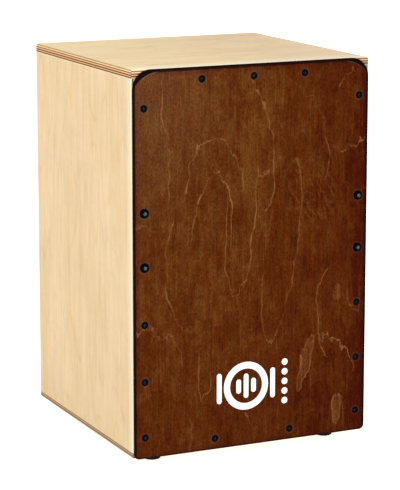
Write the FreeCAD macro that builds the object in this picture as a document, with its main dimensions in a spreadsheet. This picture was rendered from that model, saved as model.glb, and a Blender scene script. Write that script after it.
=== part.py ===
import FreeCAD, Part
import Sketcher
import os

# A cajon: a plywood box drum with a thin front plate that is played by hand.
#
# Frame: millimetres, +Z up. The front plate faces -Y, and +X is to the right of someone who
# looks at it. The origin is on the floor under the rubber feet, in the middle of the whole
# object in X and Y. In Y that includes the bolt heads, which stand proud of the front plate.

DIMENSIONS = {
    # the box
    "width": 300.0,
    "depth": 298.0,
    "body_height": 445.0,
    "seat_thickness": 9.5,
    "base_thickness": 6.5,
    "wall_thickness": 8.0,
    "back_thickness": 5.0,
    "rear_corner_radius": 4.0,
    "seat_edge_radius": 3.0,
    "base_edge_radius": 2.0,
    "front_edge_radius": 1.5,
    "sound_hole_diameter": 120.0,
    "sound_hole_edge_radius": 1.5,
    # the front plate
    "plate_thickness": 3.2,
    "plate_side_inset": 1.1,
    "plate_top_inset": 0.3,
    "plate_overhang": 1.1,
    "plate_top_corner_radius": 22.5,
    "plate_bottom_corner_radius": 6.5,
    "plate_edge_radius": 2.0,
    "bevel_side_inset": 33.9,
    "bevel_top_inset": 41.0,
    "bevel_radius": 39.0,
    "bevel_width": 6.0,
    "bevel_depth": 2.4,
    # battens inside the front and rear edges
    "batten_width": 14.0,
    "batten_depth": 18.0,
    "rear_batten_depth": 14.0,
    # wood screws, and where they stand round the front plate
    "screw_diameter": 3.5,
    "screw_head_diameter": 8.0,
    "screw_rim": 0.3,
    "screw_length": 20.0,
    "screw_tip": 4.0,
    "recess_depth": 1.4,
    "recess_span": 4.6,
    "recess_slot": 1.0,
    "side_inset": 14.0,
    "top_inset": 14.0,
    "bottom_inset": 12.2,
    "top_spacing": 65.0,
    "bottom_spacing": 96.5,
    # bolts that hold the snare, and their threaded inserts
    "bolt_lower_height": 221.5,
    "bolt_upper_height": 283.5,
    "bolt_diameter": 6.0,
    "bolt_head_diameter": 11.0,
    "bolt_head_height": 2.8,
    "bolt_head_round": 2.2,
    "bolt_length": 30.0,
    "socket_across_corners": 4.6,
    "socket_depth": 1.9,
    "insert_diameter": 9.0,
    "insert_length": 12.0,
    # the snare
    "block_width": 40.0,
    "block_height": 92.0,
    "block_thickness": 13.0,
    "bar_height": 40.0,
    "bar_gap": 0.5,
    "bar_screw_rise": 10.0,
    "snare_offset": 68.0,
    "snare_plate_width": 74.0,
    "snare_plate_height": 16.0,
    "snare_plate_thickness": 1.0,
    "snare_plate_drop": 4.0,
    "wire_diameter": 1.8,
    "wire_length": 168.0,
    "wire_spacing": 6.0,
    "wire_clearance": 0.2,
    "pin_diameter": 2.5,
    "pin_head_diameter": 5.0,
    "pin_head_height": 1.2,
    "pin_length": 10.0,
    "pin_end_inset": 4.0,
    # the feet, each with a washer and a pan-head screw in its recess
    "foot_height": 12.0,
    "foot_top_diameter": 22.0,
    "foot_bottom_diameter": 20.0,
    "foot_edge_radius": 1.5,
    "foot_side_inset": 37.5,
    "foot_end_inset": 35.0,
    "foot_recess_diameter": 10.0,
    "foot_recess_depth": 6.0,
    "washer_diameter": 9.4,
    "washer_thickness": 1.0,
    "foot_screw_head_diameter": 7.0,
    "foot_screw_head_height": 2.0,
    "foot_screw_length": 12.0,
    # radial clearance round a shank
    "clearance": 0.05,
}

SCREW_HEIGHTS = (24.0, 89.0, 155.5, 401.5)
WIRES_PER_SNARE = 10
SIDES = {"left": -1, "right": 1}

# Positions and spans, as expressions of the driving dimensions.
FRONT = "(dims.bolt_head_height / 2 - dims.depth / 2)"
BOX_FRONT = f"({FRONT} + dims.plate_thickness)"
BACK = f"({FRONT} + dims.depth)"
BOX_DEPTH = "(dims.depth - dims.plate_thickness)"
BOX_MIDDLE = f"({BOX_FRONT} + {BOX_DEPTH} / 2)"
BOTTOM = "dims.foot_height"
BASE_TOP = f"({BOTTOM} + dims.base_thickness)"
SEAT_BOTTOM = f"({BOTTOM} + dims.body_height - dims.seat_thickness)"
WALL_HEIGHT = "(dims.body_height - dims.seat_thickness - dims.base_thickness)"
INSIDE_WIDTH = "(dims.width - 2 * dims.wall_thickness)"
BETWEEN_BATTENS = f"({INSIDE_WIDTH} - 2 * dims.batten_width)"
BATTEN_BACK = f"({BOX_FRONT} + dims.batten_depth)"
SCREW_SIDE = "(dims.width / 2 - dims.side_inset)"
SHANK_HOLE = "(dims.screw_diameter / 2 + dims.clearance)"
BOLT_HEIGHTS = ("dims.bolt_lower_height", "dims.bolt_upper_height")
SNARE_MIDDLE = f"({BOTTOM} + (dims.bolt_lower_height + dims.bolt_upper_height) / 2)"
PLATE_FACE = f"({BOX_FRONT} + dims.wire_clearance + dims.wire_diameter)"
BAR_FACE = f"({PLATE_FACE} + dims.snare_plate_thickness)"
BAR_TOP = f"({SNARE_MIDDLE} + dims.bar_height / 2)"
SNARE_PLATE_MIDDLE = f"({BAR_TOP} - dims.snare_plate_drop - dims.snare_plate_height / 2)"
FOOT_SIDE = "(dims.width / 2 - dims.foot_side_inset)"

# Rotations that turn a part made along +Z.
UPRIGHT = FreeCAD.Rotation()
ALONG_Y = FreeCAD.Rotation(FreeCAD.Vector(1, 0, 0), -90)
HEAD_AT_FRONT = FreeCAD.Rotation(FreeCAD.Vector(1, 0, 0), 90)
HEAD_AT_BACK = FreeCAD.Rotation(FreeCAD.Vector(1, 0, 0), -90)
HEAD_DOWN = FreeCAD.Rotation(FreeCAD.Vector(1, 0, 0), 180)

doc = FreeCAD.newDocument("cajon")
subparts = []


# ---------------------------------------------------------------- shared helpers


def make_sheet():
    """The driving dimensions, one aliased cell each."""
    sheet = doc.addObject("Spreadsheet::Sheet", "dims")
    for row, (alias, value) in enumerate(DIMENSIONS.items(), 1):
        sheet.set(f"A{row}", alias)
        sheet.set(f"B{row}", str(value))
        sheet.setAlias(f"B{row}", alias)
    doc.recompute()


def size(alias):
    """The number in the sheet's cell."""
    return doc.getObject("dims").get(alias)


def bind(item, **expressions):
    """Bind an object's properties to expressions of the sheet."""
    for name, expression in expressions.items():
        item.setExpression(name, expression)
    return item


def place(item, x, y, z, rotation=UPRIGHT):
    """Bind an object's position to expressions of the sheet."""
    item.Placement = FreeCAD.Placement(FreeCAD.Vector(0, 0, 0), rotation)
    for axis, expression in zip("xyz", (x, y, z)):
        item.setExpression(f"Placement.Base.{axis}", expression)
    return item


def finished(item, label):
    """Give a sub-part its label and list it for export."""
    item.Label = label
    subparts.append(item)
    return item


def block(name, length, width, height, x, y, z):
    """A plain block with its lowest corner at x, y, z."""
    box = doc.addObject("Part::Box", name)
    bind(box, Length=length, Width=width, Height=height)
    return place(box, x, y, z)


def rod(name, radius, length, x="0", y="0", z="0", rotation=UPRIGHT):
    """A round rod that starts at x, y, z."""
    cylinder = doc.addObject("Part::Cylinder", name)
    bind(cylinder, Radius=radius, Height=length)
    return place(cylinder, x, y, z, rotation)


def taper(name, start, end, length, x="0", y="0", z="0", rotation=UPRIGHT):
    """A cone that starts at x, y, z with one radius and ends with another."""
    cone = doc.addObject("Part::Cone", name)
    bind(cone, Radius1=start, Radius2=end, Height=length)
    return place(cone, x, y, z, rotation)


def fuse(name, shapes):
    joined = doc.addObject("Part::MultiFuse", name)
    joined.Shapes = shapes
    return joined


def cut(name, base, tools):
    """The base with every tool taken out of it."""
    result = doc.addObject("Part::Cut", name)
    result.Base = base
    result.Tool = tools[0] if len(tools) == 1 else fuse(f"{name}_tools", tools)
    return result


def group(label, master, places, rotation):
    """One sub-part of several equal solids: a link to the master at each place."""
    links = []
    for index, (x, y, z) in enumerate(places):
        link = doc.addObject("App::Link", f"{label}_{index}")
        link.LinkedObject = master
        links.append(place(link, x, y, z, rotation))
    compound = doc.addObject("Part::Compound", label)
    compound.Links = links
    return finished(compound, label)


# ---------------------------------------------------------------- sketched boards


def sketch_on(body, role, name, offset=None):
    """A sketch on one of the body's own origin planes, moved along its normal by offset."""
    sketch = body.newObject("Sketcher::SketchObject", name)
    plane = next(feature for feature in body.Origin.OriginFeatures if feature.Role == role)
    sketch.AttachmentSupport = [(plane, "")]
    sketch.MapMode = "FlatFace"
    if offset:
        sketch.setExpression("AttachmentOffset.Base.z", offset)
    return sketch


def constrain(sketch, name, expression, *constraint):
    """Add a named constraint whose value is an expression of the sheet."""
    index = sketch.addConstraint(Sketcher.Constraint(*constraint))
    sketch.renameConstraint(index, name)
    sketch.setExpression(f"Constraints.{name}", expression)


def draw_rectangle(sketch, span, rise):
    """A rectangle about the sketch's origin."""
    reach = 20
    corners = [(-reach, -reach), (reach, -reach), (reach, reach), (-reach, reach)]
    points = [FreeCAD.Vector(x, y, 0) for x, y in corners]
    for index in range(4):
        sketch.addGeometry(Part.LineSegment(points[index], points[(index + 1) % 4]))
    for index in range(4):
        sketch.addConstraint(Sketcher.Constraint("Coincident", index, 2, (index + 1) % 4, 1))
        direction = "Horizontal" if index % 2 == 0 else "Vertical"
        sketch.addConstraint(Sketcher.Constraint(direction, index))
    sketch.addConstraint(Sketcher.Constraint("Symmetric", 0, 1, 2, 1, -1, 1))
    constrain(sketch, "span", span, "DistanceX", 0, 1, 0, 2, 2 * reach)
    constrain(sketch, "rise", rise, "DistanceY", 1, 1, 1, 2, 2 * reach)


def draw_circles(sketch, centres, diameter):
    """Circles whose centres are pairs of expressions from the sketch's origin."""
    normal = FreeCAD.Vector(0, 0, 1)
    for index, (x, y) in enumerate(centres):
        start = 10.0 * (index + 1)
        circle = sketch.addGeometry(Part.Circle(FreeCAD.Vector(start, start, 0), normal, 1))
        constrain(sketch, f"across{index}", x, "DistanceX", -1, 1, circle, 3, start)
        constrain(sketch, f"up{index}", y, "DistanceY", -1, 1, circle, 3, start)
        constrain(sketch, f"diameter{index}", diameter, "Diameter", circle, 2)


def pad(body, sketch, length):
    """Thicken a sketch along its normal."""
    board = body.newObject("PartDesign::Pad", "Board")
    board.Profile = sketch
    board.setExpression("Length", length)
    doc.recompute()


def round_edges(body, radius, test):
    """Fillet the edges of the body's tip whose bounding boxes pass the test."""
    tip = body.Tip
    names = []
    for index, edge in enumerate(tip.Shape.Edges, 1):
        if test(edge.BoundBox):
            names.append(f"Edge{index}")
    fillet = body.newObject("PartDesign::Fillet", "Rounding")
    fillet.Base = (tip, names)
    fillet.setExpression("Radius", radius)
    doc.recompute()


def drill(body, sketch, diameter, head_diameter=None):
    """Holes through the body at a sketch's circles, countersunk if a head is given."""
    doc.recompute()
    before = body.Shape.Volume
    hole = body.newObject("PartDesign::Hole", "Holes")
    hole.Profile = sketch
    doc.recompute()
    hole.ThreadType = "None"
    hole.DepthType = "ThroughAll"
    hole.setExpression("Diameter", diameter)
    if head_diameter:
        hole.HoleCutType = "Countersink"
        hole.HoleCutCustomValues = True
        hole.HoleCutCountersinkAngle = 90
        hole.setExpression("HoleCutDiameter", head_diameter)
    doc.recompute()
    if body.Shape.Volume >= before:
        raise RuntimeError(f"{body.Name}: {sketch.Name} cuts nothing")


def is_upright(box):
    return box.ZLength > 1 and box.XLength < 0.01 and box.YLength < 0.01


def lying_board(name, span, rise, thickness):
    """A board whose outline lies in XY about its own origin, its underside at Z = 0."""
    body = doc.addObject("PartDesign::Body", name)
    outline = sketch_on(body, "XY_Plane", "Outline")
    draw_rectangle(outline, span, rise)
    pad(body, outline, thickness)
    return body


# ---------------------------------------------------------------- the box


def make_seat():
    """The top panel lies over the walls, and its upper edges are rounded over."""
    body = lying_board("top_panel", "dims.width", BOX_DEPTH, "dims.seat_thickness")
    upper = size("seat_thickness") - 0.01
    front = (size("plate_thickness") - size("depth")) / 2 + 0.01
    round_edges(body, "dims.rear_corner_radius", lambda box: is_upright(box) and box.YMin > 0)
    round_edges(body, "dims.seat_edge_radius", lambda box: box.ZMin > upper and box.YMax > front)
    round_edges(body, "dims.front_edge_radius", lambda box: box.YMax < front and box.ZMax > 0.01)
    place(body, "0", BOX_MIDDLE, SEAT_BOTTOM)
    finished(body, "top_panel")


def make_base():
    """The bottom panel lies under the walls and takes the screws of the feet."""
    body = lying_board("bottom_panel", "dims.width", BOX_DEPTH, "dims.base_thickness")
    upper = size("base_thickness") - 0.01
    front = (size("plate_thickness") - size("depth")) / 2 + 0.01
    round_edges(body, "dims.rear_corner_radius", lambda box: is_upright(box) and box.YMin > 0)
    round_edges(body, "dims.base_edge_radius", lambda box: box.ZMax < 0.01 and box.YMax > front)
    round_edges(body, "dims.front_edge_radius", lambda box: box.YMax < front and box.ZMin < upper)
    holes = sketch_on(body, "XY_Plane", "Foot_screw_holes", "dims.base_thickness")
    draw_circles(holes, [(x, f"{y} - {BOX_MIDDLE}") for x, y in foot_centres()], f"2 * {SHANK_HOLE}")
    drill(body, holes, f"2 * {SHANK_HOLE}")
    place(body, "0", BOX_MIDDLE, BOTTOM)
    finished(body, "bottom_panel")


def make_walls():
    """The walls stand between base and seat, their outer edges rounded like the corners."""
    for name, side in SIDES.items():
        body = lying_board(f"{name}_panel", "dims.wall_thickness", BOX_DEPTH, WALL_HEIGHT)
        round_edges(
            body,
            "dims.rear_corner_radius",
            lambda box: is_upright(box) and box.XMin * side > 0 and box.YMin > 0,
        )
        round_edges(
            body,
            "dims.front_edge_radius",
            lambda box: is_upright(box) and box.XMin * side > size("front_edge_radius") and box.YMax < 0,
        )
        place(body, f"{side} * (dims.width - dims.wall_thickness) / 2", BOX_MIDDLE, BASE_TOP)
        finished(body, f"{name}_panel")


def make_back():
    """The back panel is set in flush between the walls and has the round sound hole."""
    body = doc.addObject("PartDesign::Body", "back_panel")
    outline = sketch_on(body, "XZ_Plane", "Outline")
    draw_rectangle(outline, INSIDE_WIDTH, WALL_HEIGHT)
    draw_circles(outline, [("0", "0")], "dims.sound_hole_diameter")
    pad(body, outline, "dims.back_thickness")
    reach = size("sound_hole_diameter") + 1
    round_edges(
        body,
        "dims.sound_hole_edge_radius",
        lambda box: 1 < box.ZLength < reach and box.YMin > -0.01,
    )
    place(body, "0", BACK, f"{BASE_TOP} + {WALL_HEIGHT} / 2")
    finished(body, "back_panel")


def make_rear_battens():
    """Strips inside the rear edges, which the back panel is glued to."""
    depth = "dims.rear_batten_depth"
    y = f"{BACK} - dims.back_thickness - {depth}"
    for name, side in SIDES.items():
        x = f"{side} * ({INSIDE_WIDTH} - dims.batten_width) / 2 - dims.batten_width / 2"
        label = f"rear_batten_{name}"
        finished(block(label, "dims.batten_width", depth, WALL_HEIGHT, x, y, BASE_TOP), label)
    for name, z in (("top", f"{SEAT_BOTTOM} - dims.batten_width"), ("bottom", BASE_TOP)):
        x = f"0 - {BETWEEN_BATTENS} / 2"
        label = f"rear_batten_{name}"
        finished(block(label, BETWEEN_BATTENS, depth, "dims.batten_width", x, y, z), label)


# ---------------------------------------------------------------- front plate and its fixings


def plate_screw_centres():
    """Centres of the wood screws in X and in height above the box's underside."""
    centres = []
    for height in SCREW_HEIGHTS:
        for side in SIDES.values():
            centres.append((f"{side} * {SCREW_SIDE}", f"{height}"))
    for step in (-1, 0, 1):
        centres.append((f"{step} * dims.top_spacing", "dims.body_height - dims.top_inset"))
    for side in SIDES.values():
        centres.append((f"{side} * dims.bottom_spacing / 2", "dims.bottom_inset"))
    return centres


def bolt_centres():
    """Centres of the snare bolts in X and in height above the box's underside."""
    centres = []
    for height in BOLT_HEIGHTS:
        for side in SIDES.values():
            centres.append((f"{side} * {SCREW_SIDE}", height))
    return centres


def corner_bevel(side):
    """The cutter of a top corner's hand bevel: a ring sector with a conical inner face.

    Its centre lies inside the corner's own, so the bevel is widest at the diagonal. It runs
    out on the side edge, and further along the top edge it meets the eased rim.
    """
    x = f"{side} * (dims.width / 2 - dims.bevel_side_inset)"
    z = f"{BOTTOM} + dims.body_height - dims.bevel_top_inset"
    outer = rod(f"Bevel_outer_{side}", "dims.bevel_radius + 3 * dims.bevel_width",
                "dims.bevel_depth", x, FRONT, z, ALONG_Y)
    inner = taper(f"Bevel_inner_{side}", "dims.bevel_radius", "dims.bevel_radius + dims.bevel_width",
                  "dims.bevel_depth", x, FRONT, z, ALONG_Y)
    corner = block(f"Bevel_corner_{side}", "dims.bevel_side_inset", "dims.bevel_depth",
                   "dims.bevel_top_inset", f"{x} + ({side} - 1) / 2 * dims.bevel_side_inset",
                   FRONT, z)
    ring = cut(f"Bevel_ring_{side}", outer, [inner])
    sector = doc.addObject("Part::MultiCommon", f"Bevel_{side}")
    sector.Shapes = [ring, corner]
    return sector


def make_front_plate():
    """The playing surface: thin plywood with round corners, an eased rim and screw holes.

    It stops short of the box's top and sides, and hangs a little below the box's underside.
    """
    body = doc.addObject("PartDesign::Body", "Plate_board")
    outline = sketch_on(body, "XZ_Plane", "Outline")
    rise = "dims.body_height - dims.plate_top_inset + dims.plate_overhang"
    draw_rectangle(outline, "dims.width - 2 * dims.plate_side_inset", rise)
    pad(body, outline, "dims.plate_thickness")
    for radius, end in (("plate_top_corner_radius", 1), ("plate_bottom_corner_radius", -1)):
        round_edges(
            body,
            f"dims.{radius}",
            lambda box: box.YLength > 1 and box.ZLength < 0.01
            and box.ZMin * end > size("plate_edge_radius"),
        )
    face = 0.01 - size("plate_thickness")
    round_edges(body, "dims.plate_edge_radius", lambda box: box.YMax < face)
    middle = "(dims.body_height - dims.plate_top_inset - dims.plate_overhang) / 2"
    holes = sketch_on(body, "XZ_Plane", "Screw_holes", "dims.plate_thickness")
    draw_circles(holes, [(x, f"{z} - {middle}") for x, z in plate_screw_centres()], "dims.screw_diameter")
    drill(body, holes, f"2 * {SHANK_HOLE}", "dims.screw_head_diameter + 2 * dims.clearance")
    holes = sketch_on(body, "XZ_Plane", "Bolt_holes", "dims.plate_thickness")
    draw_circles(holes, [(x, f"{z} - {middle}") for x, z in bolt_centres()], "dims.bolt_diameter")
    drill(body, holes, "dims.bolt_diameter + 4 * dims.clearance")
    place(body, "0", BOX_FRONT, f"{BOTTOM} + {middle}")
    finished(cut("front_plate", body, [corner_bevel(side) for side in SIDES.values()]), "front_plate")


def pilot(name, x, z):
    """The cutter of the hole that a front plate screw bites into."""
    depth = "dims.screw_length - dims.plate_thickness + 0.5"
    return rod(name, SHANK_HOLE, depth, x, BOX_FRONT, f"{BOTTOM} + {z}", ALONG_Y)


def make_side_battens():
    """Upright strips behind the front plate: its side screws and the snare bolts pass in here."""
    for name, side in SIDES.items():
        label = f"front_batten_{name}"
        low_x = f"{side} * ({INSIDE_WIDTH} - dims.batten_width) / 2 - dims.batten_width / 2"
        strip = block(f"{label}_strip", "dims.batten_width", "dims.batten_depth", WALL_HEIGHT,
                      low_x, BOX_FRONT, BASE_TOP)
        x = f"{side} * {SCREW_SIDE}"
        tools = []
        for index, height in enumerate(SCREW_HEIGHTS):
            tools.append(pilot(f"{label}_pilot_{index}", x, height))
        for index, height in enumerate(BOLT_HEIGHTS):
            tools.append(rod(f"{label}_bore_{index}", "dims.bolt_diameter / 2 + 2 * dims.clearance",
                             "dims.batten_depth", x, BOX_FRONT, f"{BOTTOM} + {height}", ALONG_Y))
        finished(cut(label, strip, tools), label)


def make_cross_battens():
    """Level strips between the side battens, under the seat and on the base."""
    rows = {
        "top": (f"{SEAT_BOTTOM} - dims.batten_width", "dims.body_height - dims.top_inset",
                [f"{step} * dims.top_spacing" for step in (-1, 0, 1)]),
        "bottom": (BASE_TOP, "dims.bottom_inset",
                   [f"{side} * dims.bottom_spacing / 2" for side in SIDES.values()]),
    }
    for name, (low_z, height, places) in rows.items():
        label = f"front_batten_{name}"
        strip = block(f"{label}_strip", BETWEEN_BATTENS, "dims.batten_depth", "dims.batten_width",
                      f"0 - {BETWEEN_BATTENS} / 2", BOX_FRONT, low_z)
        tools = [pilot(f"{label}_pilot_{index}", x, height) for index, x in enumerate(places)]
        finished(cut(label, strip, tools), label)


def make_wood_screw():
    """A countersunk wood screw with a cross recess: the wood's face at Z = 0, its tip below.

    The rim of the head stands just proud of the wood.
    """
    head = "dims.screw_head_diameter / 2"
    shank = "dims.screw_diameter / 2"
    neck = f"({head} - {shank})"
    length = "dims.screw_length - dims.screw_tip"
    solid = fuse("Screw_solid", [
        rod("Screw_rim", head, "dims.screw_rim"),
        taper("Screw_neck", shank, head, neck, z=f"0 - {neck}"),
        rod("Screw_shank", shank, length, z=f"0 - ({length})"),
        taper("Screw_tip", "0.2", shank, "dims.screw_tip", z="0 - dims.screw_length"),
    ])
    slots = []
    for index, (x, y) in enumerate((("span", "slot"), ("slot", "span"))):
        slots.append(block(f"Screw_slot_{index}", f"dims.recess_{x}", f"dims.recess_{y}",
                           "dims.recess_depth", f"0 - dims.recess_{x} / 2",
                           f"0 - dims.recess_{y} / 2", "dims.screw_rim - dims.recess_depth"))
    return cut("Wood_screw", solid, slots)


def make_bolt():
    """A button-head bolt with a hexagon socket: the head's underside at Z = 0, shank below."""
    radius = "dims.bolt_head_diameter / 2"
    button = rod("Bolt_button", radius, "dims.bolt_head_height")
    doc.recompute()
    index = next(i for i, edge in enumerate(button.Shape.Edges, 1) if edge.BoundBox.ZMin > 0.1)
    dome = doc.addObject("Part::Fillet", "Bolt_dome")
    dome.Base = button
    dome.Edges = [(index, size("bolt_head_round"), size("bolt_head_round"))]
    socket = doc.addObject("Part::Prism", "Bolt_socket")
    socket.Polygon = 6
    bind(socket, Circumradius="dims.socket_across_corners / 2", Height="dims.socket_depth")
    place(socket, "0", "0", "dims.bolt_head_height - dims.socket_depth")
    shank = rod("Bolt_shank", "dims.bolt_diameter / 2", "dims.bolt_length", z="0 - dims.bolt_length")
    return cut("Snare_bolt", fuse("Bolt_solid", [dome, shank]), [socket])


def make_front_fixings():
    """The screws round the front plate and the four bolts at its sides."""
    screws = [(x, FRONT, f"{BOTTOM} + {z}") for x, z in plate_screw_centres()]
    group("front_plate_screws", make_wood_screw(), screws, HEAD_AT_FRONT)
    bolts = [(x, FRONT, f"{BOTTOM} + {z}") for x, z in bolt_centres()]
    group("snare_bolts", make_bolt(), bolts, HEAD_AT_FRONT)


# ---------------------------------------------------------------- the snare


def bar_screw_places():
    """Where the bar's screws enter the backs of the blocks."""
    x = f"(dims.width / 2 - dims.wall_thickness - dims.batten_width - dims.side_inset)"
    y = f"{BATTEN_BACK} + dims.block_thickness"
    places = []
    for side in SIDES.values():
        for end in (-1, 1):
            places.append((f"{side} * {x}", y, f"{SNARE_MIDDLE} + {end} * dims.bar_screw_rise"))
    return places


def make_snare_blocks():
    """Blocks behind the side battens: the bolts' inserts sit in them, and they hold the bar."""
    screws = bar_screw_places()
    for index, (name, side) in enumerate(SIDES.items()):
        label = f"snare_block_{name}"
        x = f"{side} * ({INSIDE_WIDTH} - dims.block_width) / 2 - dims.block_width / 2"
        solid = block(f"{label}_wood", "dims.block_width", "dims.block_thickness", "dims.block_height",
                      x, BATTEN_BACK, f"{SNARE_MIDDLE} - dims.block_height / 2")
        tools = []
        for number, height in enumerate(BOLT_HEIGHTS):
            tools.append(rod(f"{label}_insert_hole_{number}", "dims.insert_diameter / 2",
                             "dims.insert_length", f"{side} * {SCREW_SIDE}", BATTEN_BACK,
                             f"{BOTTOM} + {height}", ALONG_Y))
        for number, (screw_x, y, z) in enumerate(screws[2 * index:2 * index + 2]):
            tools.append(rod(f"{label}_screw_hole_{number}", SHANK_HOLE, "dims.block_thickness",
                             screw_x, BATTEN_BACK, z, ALONG_Y))
            head = "(dims.screw_head_diameter / 2 + dims.clearance)"
            sink = f"({head} - {SHANK_HOLE})"
            tools.append(taper(f"{label}_sink_{number}", SHANK_HOLE, head, sink,
                               screw_x, f"{y} - {sink}", z, ALONG_Y))
        finished(cut(label, solid, tools), label)


def make_inserts():
    """Threaded inserts pressed into the blocks for the bolts."""
    sleeve = rod("Insert_sleeve", "dims.insert_diameter / 2", "dims.insert_length")
    thread = rod("Insert_thread", "dims.bolt_diameter / 2 + dims.clearance", "dims.insert_length")
    places = [(x, BATTEN_BACK, f"{BOTTOM} + {z}") for x, z in bolt_centres()]
    group("snare_inserts", cut("Insert", sleeve, [thread]), places, ALONG_Y)


def snare_pin_places():
    """Where the pins enter the end plates: one at each end of each plate."""
    reach = "(dims.snare_plate_width / 2 - dims.pin_end_inset)"
    places = []
    for side in SIDES.values():
        for end in (-1, 1):
            x = f"{side} * dims.snare_offset + {end} * {reach}"
            places.append((x, PLATE_FACE, SNARE_PLATE_MIDDLE))
    return places


def make_bar():
    """The cross bar that carries both wire sets, held clear of the front plate."""
    length = f"({BETWEEN_BATTENS} - 2 * dims.bar_gap)"
    depth = f"({BATTEN_BACK} - {BAR_FACE})"
    solid = block("Bar_wood", length, depth, "dims.bar_height",
                  f"0 - {length} / 2", BAR_FACE, f"{BAR_TOP} - dims.bar_height")
    bite = "(dims.screw_length - dims.block_thickness + 0.5)"
    tools = []
    for index, (x, y, z) in enumerate(bar_screw_places()):
        tools.append(rod(f"Bar_screw_hole_{index}", SHANK_HOLE, bite,
                         x, f"{BATTEN_BACK} - {bite}", z, ALONG_Y))
    for index, (x, y, z) in enumerate(snare_pin_places()):
        tools.append(rod(f"Bar_pin_hole_{index}", "dims.pin_diameter / 2 + dims.clearance",
                         "dims.pin_length", x, BAR_FACE, z, ALONG_Y))
    finished(cut("snare_bar", solid, tools), "snare_bar")


def make_wire_sets():
    """Two sets of steel wires: each lies on an end plate and reaches up behind the front plate."""
    pins = snare_pin_places()
    wire = rod("Snare_wire", "dims.wire_diameter / 2", "dims.wire_length")
    for index, (name, side) in enumerate(SIDES.items()):
        centre = f"{side} * dims.snare_offset"
        low_z = f"{SNARE_PLATE_MIDDLE} - dims.snare_plate_height / 2"
        strip = block(f"Snare_strip_{name}", "dims.snare_plate_width", "dims.snare_plate_thickness",
                      "dims.snare_plate_height", f"{centre} - dims.snare_plate_width / 2", PLATE_FACE, low_z)
        tools = []
        for number, (x, y, z) in enumerate(pins[2 * index:2 * index + 2]):
            tools.append(rod(f"Snare_strip_hole_{name}_{number}", "dims.pin_diameter / 2 + dims.clearance",
                             "dims.snare_plate_thickness", x, y, z, ALONG_Y))
        finished(cut(f"snare_plate_{name}", strip, tools), f"snare_plate_{name}")
        places = []
        for number in range(WIRES_PER_SNARE):
            x = f"{centre} + {number - (WIRES_PER_SNARE - 1) / 2} * dims.wire_spacing"
            places.append((x, f"{PLATE_FACE} - dims.wire_diameter / 2", low_z))
        group(f"snare_wires_{name}", wire, places, UPRIGHT)


def make_pan_screw(name, head_diameter, head_height, diameter, length):
    """A pan-head screw: the head's underside at Z = 0, shank below."""
    head = rod(f"{name}_head", f"{head_diameter} / 2", head_height)
    shank = rod(f"{name}_shank", f"{diameter} / 2", length, z=f"0 - {length}")
    slot = block(f"{name}_slot", head_diameter, "dims.recess_slot", f"{head_height} / 2",
                 f"0 - {head_diameter} / 2", "0 - dims.recess_slot / 2", f"{head_height} / 2")
    return cut(name, fuse(f"{name}_solid", [head, shank]), [slot])


def make_snare_fixings():
    """The screws that hold the bar to the blocks and the end plates to the bar."""
    group("snare_bar_screws", doc.getObject("Wood_screw"), bar_screw_places(), HEAD_AT_BACK)
    pin = make_pan_screw("Snare_pin", "dims.pin_head_diameter", "dims.pin_head_height",
                         "dims.pin_diameter", "dims.pin_length")
    group("snare_plate_screws", pin, snare_pin_places(), HEAD_AT_FRONT)


# ---------------------------------------------------------------- the feet


def foot_centres():
    """Centres of the feet in X and Y: front left, front right, rear left, rear right."""
    centres = []
    for y in (f"({FRONT} + dims.foot_end_inset)", f"({BACK} - dims.foot_end_inset)"):
        for side in SIDES.values():
            centres.append((f"{side} * {FOOT_SIDE}", y))
    return centres


def make_feet():
    """Four rubber feet, each held by a screw and a washer in its recess."""
    names = ("front_left_foot", "front_right_foot", "rear_left_foot", "rear_right_foot")
    for name, (x, y) in zip(names, foot_centres()):
        bung = taper(f"{name}_bung", "dims.foot_bottom_diameter / 2", "dims.foot_top_diameter / 2",
                     "dims.foot_height")
        doc.recompute()
        index = next(i for i, edge in enumerate(bung.Shape.Edges, 1) if edge.BoundBox.ZMax < 0.1)
        rounded = doc.addObject("Part::Fillet", f"{name}_rounded")
        rounded.Base = bung
        rounded.Edges = [(index, size("foot_edge_radius"), size("foot_edge_radius"))]
        recess = rod(f"{name}_recess", "dims.foot_recess_diameter / 2", "dims.foot_recess_depth")
        hole = rod(f"{name}_hole", SHANK_HOLE, "dims.foot_height")
        foot = cut(name, rounded, [recess, hole])
        place(foot, x, y, "0")
        finished(foot, name)
    washer = cut("Washer", rod("Washer_disc", "dims.washer_diameter / 2", "dims.washer_thickness"),
                 [rod("Washer_hole", SHANK_HOLE, "dims.washer_thickness")])
    head_seat = "dims.foot_recess_depth - dims.washer_thickness"
    places = [(x, y, head_seat) for x, y in foot_centres()]
    group("foot_washers", washer, places, UPRIGHT)
    screw = make_pan_screw("Foot_screw", "dims.foot_screw_head_diameter", "dims.foot_screw_head_height",
                           "dims.screw_diameter", "dims.foot_screw_length")
    group("foot_screws", screw, places, HEAD_DOWN)


# ---------------------------------------------------------------- build and export


def check_document():
    """Stop if any object failed to build or any sub-part has no sound solid."""
    doc.recompute()
    for item in doc.Objects:
        if "Invalid" in item.State or "Error" in item.State:
            raise RuntimeError(f"{item.Name} failed: {item.State}")
    for item in subparts:
        shape = item.Shape
        if shape.isNull() or not shape.isValid() or not shape.Solids:
            raise RuntimeError(f"{item.Label} has no valid solid")


def export_parts():
    """Write each sub-part to its own file."""
    os.makedirs("parts", exist_ok=True)
    for item in subparts:
        item.Shape.exportStep(f"parts/{item.Label}.step")
        print(f"{item.Label:22s} {len(item.Shape.Solids):3d} solids {item.Shape.Volume / 1000:9.2f} cm3")


make_sheet()
make_seat()
make_base()
make_walls()
make_back()
make_rear_battens()
make_front_plate()
make_side_battens()
make_cross_battens()
make_front_fixings()
make_snare_blocks()
make_inserts()
make_bar()
make_wire_sets()
make_snare_fixings()
make_feet()
check_document()
export_parts()
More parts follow.
